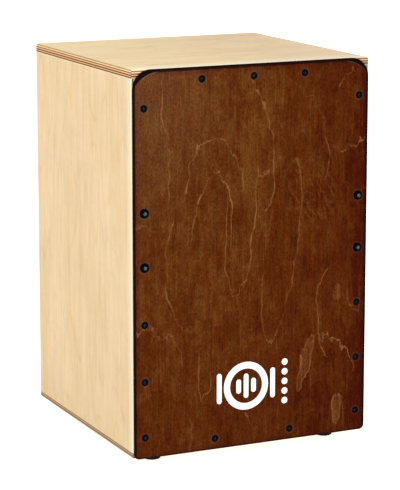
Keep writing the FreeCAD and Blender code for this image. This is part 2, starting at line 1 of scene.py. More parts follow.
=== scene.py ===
"""A cajon on a pale studio floor: materials on the CAD frame, a printed mark and coiled snares."""

import bpy
import math
from mathutils import Euler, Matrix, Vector


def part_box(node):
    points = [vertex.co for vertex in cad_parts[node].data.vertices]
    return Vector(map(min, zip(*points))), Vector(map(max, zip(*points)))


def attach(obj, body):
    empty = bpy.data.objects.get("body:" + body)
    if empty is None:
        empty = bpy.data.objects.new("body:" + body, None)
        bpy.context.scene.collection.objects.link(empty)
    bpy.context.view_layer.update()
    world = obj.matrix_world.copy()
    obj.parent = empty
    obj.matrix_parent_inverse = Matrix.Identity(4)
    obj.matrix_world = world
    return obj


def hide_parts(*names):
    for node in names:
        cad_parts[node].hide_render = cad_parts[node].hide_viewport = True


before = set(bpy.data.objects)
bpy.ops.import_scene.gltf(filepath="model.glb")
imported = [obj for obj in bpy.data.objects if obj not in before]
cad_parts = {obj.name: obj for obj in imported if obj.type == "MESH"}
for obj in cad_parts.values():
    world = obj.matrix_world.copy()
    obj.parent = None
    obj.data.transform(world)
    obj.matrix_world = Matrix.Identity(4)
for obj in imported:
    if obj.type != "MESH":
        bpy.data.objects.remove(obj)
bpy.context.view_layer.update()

MM = 0.001
BODY = "root"

# Where the photographer stood, in metres, with the camera's turn and dip in degrees, and the
# lens and sensor in millimetres. The shift is a share of the sensor's width.
CAMERA_PLACE = (-1.0821, -2.3100, 0.7488)
CAMERA_YAW = 25.139
CAMERA_DIP = 10.404
CAMERA_LENS = 158.37
CAMERA_SENSOR = 36.0
CAMERA_SHIFT = -0.10

# Geometry of the object that the looks depend on, in millimetres: boxes of its own nodes, and
# below them a few sizes that a box doesn't tell.


def span(node):
    """(lowest corner, highest corner) of a CAD node in millimetres."""
    low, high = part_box(node)
    return low / MM, high / MM


SEAT_LOW, SEAT_HIGH = span("top_panel")
BASE_LOW, BASE_HIGH = span("bottom_panel")
PLATE_LOW, PLATE_HIGH = span("front_plate")
BACK_LOW, BACK_HIGH = span("back_panel")
LEFT_LOW, LEFT_HIGH = span("left_panel")
RIGHT_LOW, RIGHT_HIGH = span("right_panel")
BOLTS_LOW, BOLTS_HIGH = span("snare_bolts")
SCREWS_LOW, SCREWS_HIGH = span("front_plate_screws")

# The heads on the front plate, each as (how far to either side of the middle, how high).
BOLT_HEAD_RADIUS = 5.5
HEADS_X = BOLTS_HIGH.x - BOLT_HEAD_RADIUS
SCREW_HEAD_RADIUS = SCREWS_HIGH.x - HEADS_X
SIDE_SCREW_HEIGHTS = (36.0, 101.0, 167.5, 413.5)
TOP_SCREWS_X = (0.0, 65.0)
BOTTOM_SCREWS_X = 48.25
BOLT_PLACES = (
    (HEADS_X, BOLTS_LOW.z + BOLT_HEAD_RADIUS),
    (HEADS_X, BOLTS_HIGH.z - BOLT_HEAD_RADIUS),
)
SCREW_PLACES = [(HEADS_X, height) for height in SIDE_SCREW_HEIGHTS]
SCREW_PLACES += [(x, SCREWS_HIGH.z - SCREW_HEAD_RADIUS) for x in TOP_SCREWS_X]
SCREW_PLACES.append((BOTTOM_SCREWS_X, SCREWS_LOW.z + SCREW_HEAD_RADIUS))

# The hand bevel on each top corner: where its arc is centred, from the plate's side and top
# edges, and the arc's radius.
BEVEL_SIDE_INSET = 32.8
BEVEL_TOP_INSET = 40.7
BEVEL_RADIUS = 37.6


# ---------------------------------------------------------------- node materials


class Shader:
    """A node material built by short calls. Every argument is a number, a tuple or a socket."""

    def __init__(self, name):
        self.material = bpy.data.materials.new(name)
        self.material.use_nodes = True
        tree = self.material.node_tree
        self.nodes = tree.nodes
        self.links = tree.links
        self.nodes.clear()
        self.principled = self.nodes.new("ShaderNodeBsdfPrincipled")
        output = self.nodes.new("ShaderNodeOutputMaterial")
        self.links.new(self.principled.outputs["BSDF"], output.inputs["Surface"])
        coordinates = self.nodes.new("ShaderNodeTexCoord")
        self.place = self.vector("MULTIPLY", coordinates.outputs["Object"], (1000, 1000, 1000))
        self.x, self.y, self.z = self.split(self.place)
        self.normal = self.nodes.new("ShaderNodeNewGeometry").outputs["Normal"]

    def feed(self, socket, value):
        if isinstance(value, bpy.types.NodeSocket):
            self.links.new(value, socket)
        elif socket.type == "RGBA" and len(value) == 3:
            socket.default_value = (*value, 1.0)
        else:
            socket.default_value = value

    def make(self, kind, inputs, **settings):
        node = self.nodes.new(kind)
        for name, value in settings.items():
            setattr(node, name, value)
        for key, value in inputs.items():
            self.feed(node.inputs[key], value)
        return node

    def math(self, operation, first, second=0.0, third=0.0):
        values = {0: first, 1: second, 2: third}
        return self.make("ShaderNodeMath", values, operation=operation).outputs[0]

    def vector(self, operation, first, second=(0, 0, 0)):
        node = self.make("ShaderNodeVectorMath", {0: first, 1: second}, operation=operation)
        return node.outputs["Value" if operation in ("LENGTH", "DOT_PRODUCT") else "Vector"]

    def split(self, vector):
        return self.make("ShaderNodeSeparateXYZ", {0: vector}).outputs[:]

    def join(self, x, y, z):
        return self.make("ShaderNodeCombineXYZ", {0: x, 1: y, 2: z}).outputs[0]

    def noise(self, vector, size, detail=2.0, roughness=0.5):
        """Noise from 0 to 1 whose cells are size = (x, y, z) millimetres."""
        scaled = self.vector("DIVIDE", vector, size)
        inputs = {"Vector": scaled, "Scale": 1.0, "Detail": detail, "Roughness": roughness}
        return self.make("ShaderNodeTexNoise", inputs).outputs["Fac"]

    def ramp(self, value, low, high, start=0.0, end=1.0):
        """A smooth step from start to end as value goes from low to high."""
        inputs = {"Value": value, "From Min": low, "From Max": high, "To Min": start, "To Max": end}
        node = self.make("ShaderNodeMapRange", inputs, interpolation_type="SMOOTHSTEP")
        return node.outputs["Result"]

    def scale(self, value, low, high):
        """A straight map of 0 to 1 onto low to high."""
        return self.math("MULTIPLY_ADD", value, high - low, low)

    def add(self, *values):
        total = values[0]
        for value in values[1:]:
            total = self.math("ADD", total, value)
        return total

    def times(self, *values):
        product = values[0]
        for value in values[1:]:
            product = self.math("MULTIPLY", product, value)
        return product

    def mix(self, factor, first, second):
        node = self.nodes.new("ShaderNodeMix")
        node.data_type = "RGBA"
        self.feed(node.inputs[0], factor)
        self.feed(node.inputs[6], first)
        self.feed(node.inputs[7], second)
        return node.outputs[2]

    def choose(self, factor, first, second):
        return self.make("ShaderNodeMix", {0: factor, 2: first, 3: second}).outputs[0]

    def shade(self, colour, value):
        """The colour multiplied by a grey value."""
        return self.vector("MULTIPLY", colour, self.join(value, value, value))

    def finish(self, colour, roughness, height, depth, **constants):
        """Connect the colour, the roughness and a height map that is depth millimetres deep."""
        self.feed(self.principled.inputs["Base Color"], colour)
        self.feed(self.principled.inputs["Roughness"], roughness)
        bump = self.make("ShaderNodeBump", {"Height": height, "Distance": depth * MM, "Strength": 1.0})
        self.links.new(bump.outputs["Normal"], self.principled.inputs["Normal"])
        for name, value in constants.items():
            self.feed(self.principled.inputs[name.replace("_", " ")], value)
        return self.material


# ---------------------------------------------------------------- wood


def fibres(shader, across, along, depth):
    """Fine fibres, streaks, bands, clouds, short pores and cross flame, each from 0 to 1."""
    place = shader.join(across, along, depth)
    return {
        "fine": shader.noise(place, (0.9, 34.0, 3.0), 3.0, 0.6),
        "streak": shader.noise(place, (2.3, 55.0, 6.0), 2.0),
        "band": shader.noise(place, (6.0, 95.0, 8.0), 2.0),
        "cloud": shader.noise(place, (46.0, 75.0, 20.0), 2.0),
        "pore": shader.ramp(shader.noise(place, (0.7, 7.0, 3.0), 1.0), 0.62, 0.74),
        "flame": shader.noise(place, (15.0, 6.0, 9.0), 3.0),
    }


# How many growth rings the log's surface rolls over, and how far a ring's line wanders in mm.
RING_ROLL = 9.0
RING_JAG = 9.0


def growth(shader, across, along, depth, hills):
    """Height of the log's surface over the knife, in growth rings, where a veneer was peeled.

    A hill is (across, along, half-width, half-height, rise) in millimetres and rings.
    """
    place = shader.join(across, along, depth)
    sway = shader.noise(place, (34.0, 52.0, 30.0), 1.0)
    notch = shader.noise(place, (8.0, 15.0, 12.0), 3.0, 0.62)
    bent_across = shader.add(across, shader.scale(sway, -0.6 * RING_JAG, 0.6 * RING_JAG))
    bent_along = shader.add(along, shader.scale(notch, -RING_JAG, RING_JAG))
    bent = shader.join(bent_across, bent_along, 0.0)
    height = shader.times(shader.noise(bent, (60.0, 260.0, 40.0), 1.0), RING_ROLL)
    for middle, level, half_width, half_height, rise in hills:
        inputs = {
            "Vector": bent,
            "Location": (-middle / half_width, -level / half_height, 0.0),
            "Scale": (1.0 / half_width, 1.0 / half_height, 1.0),
        }
        local = shader.make("ShaderNodeMapping", inputs).outputs["Vector"]
        hill = shader.make("ShaderNodeTexGradient", {"Vector": local}, gradient_type="SPHERICAL")
        height = shader.math("MULTIPLY_ADD", hill.outputs["Fac"], rise, height)
    return height


def end_grain(shader, grain):
    """How squarely a surface cuts the fibres that run along the grain axis, from 0 to 1."""
    squareness = shader.math("ABSOLUTE", shader.vector("DOT_PRODUCT", shader.normal, grain))
    return shader.ramp(squareness, 0.25, 0.85)


def plies(shader, level, low, high, count, face_grain, cross_grain):
    """How much end grain shows, and the glue lines, in a stack of veneers between two levels.

    Veneers cross at right angles, so on one edge of the board every other one shows end grain.
    """
    tiny = 0.002
    layer = shader.math("MULTIPLY_ADD", level, count / (high - low), -low * count / (high - low))
    layer = shader.math("MINIMUM", shader.math("MAXIMUM", layer, tiny), count - tiny)
    crossed = shader.math("GREATER_THAN", shader.math("MODULO", layer, 2.0), 1.0)
    cut = shader.choose(crossed, end_grain(shader, face_grain), end_grain(shader, cross_grain))
    glue = shader.ramp(shader.math("PINGPONG", layer, 0.5), 0.02, 0.09, 1.0, 0.0)
    inside = shader.times(
        shader.math("GREATER_THAN", layer, 0.5), shader.math("LESS_THAN", layer, count - 0.5)
    )
    return cut, shader.times(glue, inside)


PALE = (0.675, 0.512, 0.310)
PALE_WARM = (0.620, 0.446, 0.242)
PALE_LINE = (0.50, 0.30, 0.14)
EDGE_HIGHLIGHT = (0.78, 0.72, 0.56)
PLY_LONG = (0.62, 0.43, 0.22)
PLY_END = (0.195, 0.084, 0.024)
PLY_GLUE = (0.16, 0.055, 0.012)

X_AXIS = (1, 0, 0)
Y_AXIS = (0, 1, 0)
Z_AXIS = (0, 0, 1)
AXES = {"x": X_AXIS, "y": Y_AXIS, "z": Z_AXIS}
ENDS = {"x": (SEAT_LOW.x, SEAT_HIGH.x), "z": (BASE_LOW.z, SEAT_HIGH.z)}
WHITE = (1.0, 1.0, 1.0)


def birch_plywood(
    name, across, along, stack, low, high, count, hills, tints, front=0.0, lower_ply_shade=None
):
    """Clear-lacquered birch plywood: face grain along one axis, plies stacked on another.

    count plies fill the board from low to high. tints multiply the colour at the grain's two
    ends. front is how far back from the box's front edge a painted highlight reaches, in millimetres.
    The last argument darkens the cut edge's lower plies with painted shade.
    """
    shader = Shader(name)
    place = {"x": shader.x, "y": shader.y, "z": shader.z}
    lie = [place[axis] for axis in (across, along, stack)]
    grain = fibres(shader, *lie)
    rings = growth(shader, *lie, hills)
    line = shader.ramp(shader.math("PINGPONG", rings, 0.5), 0.0, 0.13, 1.0, 0.0)
    vein = shader.noise(shader.join(*lie), (13.0, 110.0, 12.0), 3.0)
    warm = shader.add(
        shader.scale(grain["band"], -0.15, 0.55),
        shader.scale(grain["cloud"], -0.3, 0.7),
        shader.scale(grain["streak"], -0.4, 0.4),
    )
    colour = shader.mix(shader.ramp(warm, 0.0, 0.85), PALE, PALE_WARM)
    colour = shader.mix(shader.times(line, grain["cloud"], 0.42), colour, PALE_LINE)
    colour = shader.mix(shader.times(grain["pore"], 0.18), colour, PALE_LINE)
    tone = shader.add(
        shader.scale(grain["fine"], 0.80, 1.00),
        shader.scale(grain["streak"], -0.13, 0.26),
        shader.scale(vein, -0.08, 0.13),
        shader.scale(grain["flame"], -0.02, 0.06),
    )
    colour = shader.shade(colour, tone)
    if front:
        # Painted highlight: paler wood towards the box's front edge, and a bright line right at the
        # edge.
        behind = shader.math("SUBTRACT", shader.y, PLATE_HIGH.y)
        near = shader.ramp(behind, 0.3 * front, front, 0.4, 0.0)
        painted_edge_highlight = shader.ramp(behind, 0.05 * front, 0.25 * front, 0.95, 0.0)
        if along == "z":
            # A wall's top edge gets a painted highlight too, where it meets the seat.
            below = shader.math("SUBTRACT", SEAT_LOW.z, shader.z)
            painted_edge_highlight = shader.math("MAXIMUM", painted_edge_highlight, shader.ramp(below, 0.6, 2.0, 0.35, 0.0))
        colour = shader.mix(shader.math("MAXIMUM", near, painted_edge_highlight), colour, EDGE_HIGHLIGHT)

    # The cut edges: long grain and end grain by turns, glue lines, and painted shade on the lower
    # plies if there is any.
    thick = high - low
    cut, glue = plies(shader, place[stack], low, high, count, AXES[along], AXES[across])
    flat = shader.math("ABSOLUTE", shader.vector("DOT_PRODUCT", shader.normal, AXES[stack]))
    edge = shader.ramp(flat, 0.75, 0.35)
    cells = shader.scale(shader.noise(shader.place, (0.5, 0.5, 0.5), 2.0), 0.6, 1.35)
    # Painted shade: the end grain is darker towards the low side of the stack.
    cells = shader.times(cells, shader.ramp(place[stack], low + 0.2 * thick, high, 0.6, 1.7))
    colour = shader.mix(shader.times(edge, 0.5), colour, PLY_LONG)
    colour = shader.mix(cut, colour, shader.shade(PLY_END, cells))
    colour = shader.mix(shader.times(glue, edge, 0.45), colour, PLY_GLUE)
    if lower_ply_shade:
        # Painted shade: the lower plies of the cut edge darker.
        painted_ply_shade = shader.ramp(place[stack], low + 0.3 * thick, low + 0.8 * thick, 1.0, 0.0)
        painted_ply_shade = shader.mix(shader.times(edge, painted_ply_shade), WHITE, lower_ply_shade)
        colour = shader.vector("MULTIPLY", colour, painted_ply_shade)

    tint = shader.mix(shader.ramp(place[along], *ENDS[along]), *tints)
    colour = shader.vector("MULTIPLY", colour, tint)
    roughness = shader.add(shader.scale(grain["fine"], 0.36, 0.48), shader.times(cut, 0.18))
    relief = shader.add(grain["fine"], shader.times(grain["pore"], -0.7), shader.times(glue, -0.8))
    return shader.finish(colour, roughness, relief, 0.03, Specular_IOR_Level=0.03)


STAIN_LIGHT = (0.123, 0.0390, 0.0060)
STAIN_SHEEN = (0.130, 0.0520, 0.0190)
STAIN = (0.081, 0.0158, 0.0014)
STAIN_DEEP = (0.050, 0.0048, 0.0004)
STAIN_LINE = (0.24, 0.103, 0.034)
STAIN_PATCH = (0.190, 0.066, 0.014)
STAIN_RIM = (0.0095, 0.0018, 0.0009)
STAIN_PALE_GREY = (0.17, 0.135, 0.115)
# This one is a tint, and multiplies the colour of the margin.
STAIN_MAROON = (1.0, 0.90, 1.3)

# The figure of the peeled front veneer: each growth ring that the knife cut shows as part of an
# oval line. Across, up, half-width and half-height in mm, lean of the top to the right in
# degrees, the side that shows (right, up, how far that way it starts), strength, and fill.
FIGURE = (
    (-52, 262, 24, 74, 4, (0, 1, -0.2), 0.9, 0),
    (-50, 300, 37, 74, 0, (0, 1, 0.0), 1.0, 0),
    (-80, 228, 31, 72, 0, (-1, -0.4, 0.1), 0.6, 0),
    (-15, 300, 19, 108, 4, (0.2, -1, -0.3), 0.9, 0),
    (-5, 364, 29, 80, -10, (1, -0.2, 0.25), 0.9, 0),
    (14, 342, 9, 17, 0, (-0.3, -1, 0.1), 0.8, 0),
    (36, 238, 20, 108, 9, (0.3, -0.3, -0.5), 0.55, 0),
    (112, 160, 29, 62, 0, (-1, 0, 0.35), 1.0, 0),
    (134, 182, 11, 22, 0, (-0.5, -1, 0.2), 0.6, 0),
    (68, 103, 6.0, 34, 13, (0, 1, -2.0), 0.9, 0.6),
    (96, 70, 38, 62, -8, (0.45, 1, 0.55), 1.0, 0),
    (111, 39, 5.0, 15, -2, (0, 1, -2.0), 0.8, 0.7),
    (111, 181, 3, 9, 0, (0, 1, -2.0), 0.5, 0.6),
    (-138, 143, 20, 19, 0, (0, 1, 0.5), 0.8, 0),
    (-115, 118, 25, 33, 0, (0.7, 1, 0.4), 0.9, 0),
    (-62, 112, 8, 37, 0, (-0.4, -1, -0.3), 0.6, 0),
    (-100, 30, 20, 60, 0, (1, 0, 0.8), 0.5, 0),
    (8, 52, 18, 22, 0, (-1, -1, 0.8), 0.5, 0),
    (60, 345, 36, 75, 0, (1, 0.6, 0.5), 0.5, 0),
    (132, 420, 20, 22, 0, (-0.6, 1, 0.6), 0.45, 0),
    (118, 385, 30, 34, 0, (0.5, -1, 0.5), 0.8, 0),
    (-95, 418, 19, 54, 0, (-1, 0, 0.6), 0.8, 0),
    (-125, 335, 20, 48, 0, (1, 0, 0.55), 0.6, 0),
    (-145, 262, 20, 18, 0, (0, 1, 0.5), 0.6, 0),
)

# How far a line of the figure wanders, and the half-width of the line, in mm.
FIGURE_JAG = 17.0
FIGURE_REACH = 1.3


def figure(shader, across, along):
    """The veneer's figure as two masks from 0 to 1: its ring lines, and its filled islands."""
    place = shader.join(across, along, 0.0)
    sway = shader.noise(place, (30.0, 40.0, 1.0), 2.0)
    notch = shader.noise(place, (10.0, 22.0, 1.0), 2.0, 0.55)
    tooth = shader.noise(place, (4.0, 6.0, 1.0), 1.0)
    bent_across = shader.add(across, shader.scale(sway, -0.5 * FIGURE_JAG, 0.5 * FIGURE_JAG))
    bent_along = shader.add(
        along,
        shader.scale(notch, -FIGURE_JAG, FIGURE_JAG),
        shader.scale(tooth, -0.3 * FIGURE_JAG, 0.3 * FIGURE_JAG),
    )
    bent = shader.join(bent_across, bent_along, 0.0)
    lines = 0.0
    islands = 0.0
    for middle, level, half_width, half_height, lean, (right, up, start), strength, fill in FIGURE:
        inputs = {
            "Vector": bent,
            "Location": (middle, level, 0.0),
            "Rotation": (0.0, 0.0, -math.radians(lean)),
            "Scale": (half_width, half_height, 1.0),
        }
        local = shader.make("ShaderNodeMapping", inputs, vector_type="TEXTURE").outputs[0]
        radius = shader.vector("LENGTH", local)
        slope = shader.vector("LENGTH", shader.vector("DIVIDE", local, (half_width, half_height, 1)))
        off = shader.math("ABSOLUTE", shader.math("SUBTRACT", radius, 1.0))
        distance = shader.math("DIVIDE", shader.times(off, radius), slope)
        line = shader.ramp(distance, 0.1 * FIGURE_REACH, FIGURE_REACH, strength, 0.0)
        side = shader.vector("DOT_PRODUCT", local, (right, up, 0))
        line = shader.times(line, shader.ramp(side, start, start + 0.3))
        lines = shader.math("MAXIMUM", lines, line)
        if fill:
            islands = shader.math("MAXIMUM", islands, shader.ramp(radius, 1.0, 0.86, 0.0, fill))
    return lines, islands


def from_heads(shader, places):
    """Distance in mm from the axis of the nearest of the heads at (to either side, up)."""
    nearest = 1000.0
    for aside, up in places:
        across = shader.math("SUBTRACT", shader.math("ABSOLUTE", shader.x), aside)
        away = shader.join(across, shader.math("SUBTRACT", shader.z, up), 0.0)
        nearest = shader.math("MINIMUM", nearest, shader.vector("LENGTH", away))
    return nearest


def oval(shader, middle, level, half_width, half_height, solid):
    """1 in the solid share of an upright oval on the front plate, falling to 0 at its outline."""
    from_middle = shader.vector("SUBTRACT", shader.place, (middle, 0, level))
    local = shader.vector("MULTIPLY", from_middle, (1 / half_width, 0, 1 / half_height))
    return shader.ramp(shader.vector("LENGTH", local), 1.0, solid)


def stained_birch():
    """Thin birch plywood with a walnut stain, near black on the eased rim and the hand bevels."""
    shader = Shader("stained_birch")
    x, y, z = shader.x, shader.y, shader.z
    grain = fibres(shader, x, z, y)
    line, island = figure(shader, x, z)
    strength = shader.times(
        shader.ramp(shader.noise(shader.place, (24.0, 20.0, 28.0), 2.0), 0.34, 0.58, 0.38, 1.0),
        shader.ramp(shader.noise(shader.place, (5.0, 8.0, 7.0), 1.0), 0.36, 0.54, 0.5, 1.0),
    )

    # How much stain the wood took: blotches, mottle and streaks. The slopes across the plate are
    # painted light and shade: lighter to the left, in the upper left and the upper middle, darker
    # at the bottom and towards the right.
    blotch = shader.noise(shader.place, (24.0, 40.0, 38.0), 5.0, 0.68)
    mottle = shader.noise(shader.place, (5.0, 9.0, 9.0), 3.0, 0.6)
    light = shader.add(
        shader.ramp(x, -150.0, 150.0, 0.74, 0.40),
        shader.ramp(z, 60.0, 180.0, -0.15, 0.0),
        shader.ramp(z, 220.0, 290.0, 0.0, -0.06),
        shader.times(shader.ramp(z, 300.0, 430.0, 0.0, 0.16), shader.ramp(x, 0.0, 120.0, 1.0, 0.2)),
        shader.times(oval(shader, 0, 345, 48, 150, 0.2), 0.26),
        shader.scale(blotch, -0.75, 0.75),
        shader.scale(mottle, -0.45, 0.45),
        shader.scale(grain["band"], -0.22, 0.22),
        shader.scale(grain["streak"], -0.16, 0.16),
    )
    # Painted shade: darker towards the right edge.
    light = shader.math("SUBTRACT", light, shader.ramp(x, 118.0, 146.0, 0.0, 0.36))
    colour = shader.mix(shader.ramp(light, -0.05, 0.55), STAIN_DEEP, STAIN)
    colour = shader.mix(shader.ramp(light, 0.45, 1.10), colour, STAIN_LIGHT)

    # Curly flecks on the right, a painted sheen on the upper left, and the figure's pale islands.
    slant = shader.join(shader.math("MULTIPLY_ADD", z, 0.35, x), z, y)
    flecked = shader.times(
        oval(shader, 74, 303, 46, 62, 0.4),
        shader.ramp(shader.noise(slant, (4.2, 9.0, 5.0), 3.0, 0.6), 0.48, 0.62, 0.0, 0.60),
    )
    colour = shader.mix(flecked, colour, STAIN_LIGHT)
    # Painted sheen on the upper left.
    bloom = shader.times(shader.ramp(x, -150.0, 0.0, 0.45, 0.0), shader.ramp(z, 220.0, 430.0))
    colour = shader.mix(bloom, colour, STAIN_SHEEN)
    patch = shader.times(island, shader.ramp(grain["streak"], 0.30, 0.70, 0.35, 0.8))
    colour = shader.mix(patch, colour, STAIN_PATCH)

    # Fibres and pores, small changes of hue, and the figure's lines.
    tone = shader.add(
        shader.scale(grain["fine"], 0.0, 1.0),
        shader.scale(grain["streak"], 0.0, 0.12),
        shader.scale(shader.noise(shader.place, (2.0, 2.5, 3.2), 2.0, 0.6), -0.50, 1.25),
    )
    colour = shader.shade(colour, tone)
    hue = shader.noise(shader.place, (13.0, 18.0, 21.0), 3.0, 0.6)
    olive = shader.join(1.0, shader.scale(hue, 0.76, 1.24), shader.scale(hue, 0.50, 1.50))
    colour = shader.vector("MULTIPLY", colour, olive)
    thread = shader.ramp(grain["streak"], 0.62, 0.76)
    colour = shader.mix(shader.times(thread, grain["cloud"], 0.22), colour, STAIN_LINE)
    colour = shader.mix(shader.times(line, strength, 0.85), colour, STAIN_LINE)
    colour = shader.mix(shader.times(grain["pore"], 0.4), colour, STAIN_DEEP)

    # A faint pale ring round each head, and painted shade in the screws' countersinks.
    from_bolts = from_heads(shader, BOLT_PLACES)
    from_screws = from_heads(shader, SCREW_PLACES)
    for away, radius in ((from_bolts, BOLT_HEAD_RADIUS), (from_screws, SCREW_HEAD_RADIUS)):
        pale_ring = shader.ramp(away, radius + 0.9, radius + 2.6, 0.10, 0.0)
        colour = shader.mix(pale_ring, colour, STAIN_PALE_GREY)
    # Painted shade in the countersinks round the screws.
    countersink_shade = shader.ramp(from_screws, SCREW_HEAD_RADIUS + 0.2, SCREW_HEAD_RADIUS + 0.8, 0.75, 0.0)
    colour = shader.mix(countersink_shade, colour, STAIN_RIM)

    # The margin: the black that was wiped over the rim fades inwards, through a maroon tint. It
    # reaches further in on the right than on the left, and least far at the bottom.
    wander = shader.scale(shader.noise(shader.place, (9.0, 9.0, 9.0), 2.0), -0.5, 0.5)
    to_side = shader.math("SUBTRACT", PLATE_HIGH.x, shader.math("ABSOLUTE", x))
    to_side = shader.add(to_side, shader.ramp(x, -10.0, 10.0, 0.6, -0.8))
    to_top = shader.math("SUBTRACT", PLATE_HIGH.z - 0.6, z)
    to_bottom = shader.math("SUBTRACT", z, PLATE_LOW.z - 1.0)
    margin = shader.math("MINIMUM", to_side, shader.math("MINIMUM", to_top, to_bottom))
    margin = shader.add(margin, wander)
    burnt = shader.math(
        "MAXIMUM", shader.ramp(margin, 2.4, 3.9, 0.92, 0.0), shader.ramp(margin, 3.0, 9.0, 0.24, 0.0)
    )
    tint = shader.mix(shader.ramp(margin, 6.0, 12.0), STAIN_MAROON, WHITE)
    colour = shader.vector("MULTIPLY", colour, tint)
    colour = shader.mix(burnt, colour, STAIN_RIM)

    # The black rim: the round-over, the board's own edge, and the hand bevels of the top corners,
    # with a painted highlight along their inner edge.
    facing = shader.math("ABSOLUTE", shader.vector("DOT_PRODUCT", shader.normal, Y_AXIS))
    turned = shader.ramp(facing, 0.985, 0.94, 0.0, 1.0)
    bevel_x = shader.math("SUBTRACT", shader.math("ABSOLUTE", x), PLATE_HIGH.x - BEVEL_SIDE_INSET)
    bevel_z = shader.math("SUBTRACT", z, PLATE_HIGH.z - BEVEL_TOP_INSET)
    bevel_x = shader.math("MAXIMUM", bevel_x, 0.0)
    bevel_z = shader.math("MAXIMUM", bevel_z, 0.0)
    reach = shader.vector("LENGTH", shader.join(bevel_x, bevel_z, 0.0))
    beyond = shader.math("SUBTRACT", reach, BEVEL_RADIUS)
    corner = shader.times(
        shader.math("GREATER_THAN", bevel_x, 0.0), shader.math("GREATER_THAN", bevel_z, 0.0)
    )
    black = shader.math("MAXIMUM", turned, shader.times(corner, shader.ramp(beyond, 0.1, 0.5)))
    colour = shader.mix(black, colour, STAIN_RIM)
    # Painted highlight along the inner edge of the bevels.
    painted_highlight = shader.times(
        corner,
        shader.ramp(shader.math("ABSOLUTE", beyond), 0.1, 0.65, 0.55, 0.0),
        shader.ramp(bevel_x, 32.0, 17.0),
        shader.ramp(bevel_x, 0.0, 9.0, 0.15, 1.0),
        shader.ramp(x, -10.0, 10.0, 1.0, 0.4),
    )
    colour = shader.mix(painted_highlight, colour, STAIN_PALE_GREY)

    roughness = shader.add(shader.scale(grain["fine"], 0.40, 0.56), shader.times(grain["pore"], 0.1))
    relief = shader.add(grain["fine"], shader.times(grain["pore"], -0.8), shader.times(line, 0.35))
    return shader.finish(colour, roughness, relief, 0.03, Specular_IOR_Level=0.013)


SOFTWOOD = (0.74, 0.52, 0.29)
SOFTWOOD_LATE = (0.50, 0.275, 0.11)
SOFTWOOD_RING_WIDTH = 2.6


def softwood(name, along, pith):
    """Spruce cut from near a pith line: stripes along the grain and arcs on the sawn ends.

    pith is where the pith line crosses the other two axes, in millimetres.
    """
    shader = Shader(name)
    place = {"x": shader.x, "y": shader.y, "z": shader.z}
    across, depth = [axis for axis in "xyz" if axis != along]
    grain = fibres(shader, place[across], place[along], place[depth])
    from_pith = shader.join(
        shader.math("SUBTRACT", place[across], pith[0]),
        shader.math("SUBTRACT", place[depth], pith[1]),
        0.0,
    )
    radius = shader.add(shader.vector("LENGTH", from_pith), shader.scale(grain["cloud"], -4.0, 4.0))
    ring = shader.math("FRACT", shader.math("DIVIDE", radius, SOFTWOOD_RING_WIDTH))
    late = shader.times(shader.ramp(ring, 0.45, 0.88), shader.ramp(ring, 1.0, 0.93))
    colour = shader.mix(shader.times(late, 0.7), SOFTWOOD, SOFTWOOD_LATE)
    cut = end_grain(shader, AXES[along])
    colour = shader.shade(colour, shader.scale(grain["fine"], 0.82, 1.1))
    colour = shader.shade(colour, shader.math("MULTIPLY_ADD", cut, -0.28, 1.0))
    roughness = shader.scale(grain["fine"], 0.55, 0.75)
    return shader.finish(colour, roughness, grain["fine"], 0.08, Specular_IOR_Level=0.3)


# ---------------------------------------------------------------- metal, rubber, ink and floor


def metal(name, colour, worn, roughness):
    """Bare metal, brushed unevenly, with duller patches."""
    shader = Shader(name)
    patch = shader.noise(shader.place, (1.6, 1.6, 1.6), 3.0, 0.6)
    speck = shader.noise(shader.place, (0.22, 0.22, 0.22), 2.0)
    thin = shader.ramp(shader.add(patch, shader.scale(speck, -0.12, 0.12)), 0.5, 0.75, 0.0, 0.25)
    rough = shader.scale(patch, 0.75 * roughness, 1.25 * roughness)
    relief = shader.add(shader.times(patch, 0.6), shader.times(speck, 0.4))
    return shader.finish(shader.mix(thin, colour, worn), rough, relief, 0.02, Metallic=1.0)


# How far a bolt's socket reaches from its axis, and how deep in the heads the painted glint of the
# sockets and of the screws' recesses begins, in mm.
SOCKET_REACH = 2.4
SOCKET_LIP = 0.1
RECESS_LIP = 0.15


def bolt_sockets(shader):
    """1 in the hex sockets of the four bolts."""
    return shader.times(
        shader.math("LESS_THAN", from_heads(shader, BOLT_PLACES), SOCKET_REACH),
        shader.math("GREATER_THAN", shader.y, BOLTS_LOW.y + SOCKET_LIP),
    )


def screw_recesses(shader):
    """1 in the cross recesses of the screws, below the face of their heads."""
    return shader.math("GREATER_THAN", shader.y, SCREWS_LOW.y + RECESS_LIP)


OXIDE = (0.0010, 0.0009, 0.0009)
OXIDE_DULL = (0.0036, 0.0032, 0.0032)
RUBBER = (0.0018, 0.0018, 0.0020)
RUBBER_BLOOM = (0.0050, 0.0047, 0.0047)
DUST = (0.05, 0.047, 0.044)
INK = (0.93, 0.925, 0.91)
INK_THIN = (0.66, 0.58, 0.5)
PAPER_DARK = (0.80, 0.80, 0.80)
PAPER_PALE = (0.83, 0.83, 0.83)
PAPER_GLOW = 0.76


def blackened(name, recess, painted_highlight):
    """Black oxide on steel, with a painted glint in the recesses where the driver sits.

    recess is the mask of those places, and the third argument the colour of that glint.
    """
    shader = Shader(name)
    patch = shader.noise(shader.place, (1.6, 1.6, 1.6), 3.0, 0.6)
    colour = shader.mix(shader.ramp(patch, 0.5, 0.75), OXIDE, OXIDE_DULL)
    # Painted glint in the sockets and recesses.
    glint = shader.ramp(shader.noise(shader.place, (1.3, 1.3, 1.3), 1.0), 0.40, 0.60, 0.35, 1.0)
    colour = shader.mix(shader.times(recess(shader), glint), colour, painted_highlight)
    roughness = shader.scale(patch, 0.28, 0.45)
    return shader.finish(colour, roughness, patch, 0.02, Specular_IOR_Level=0.02)


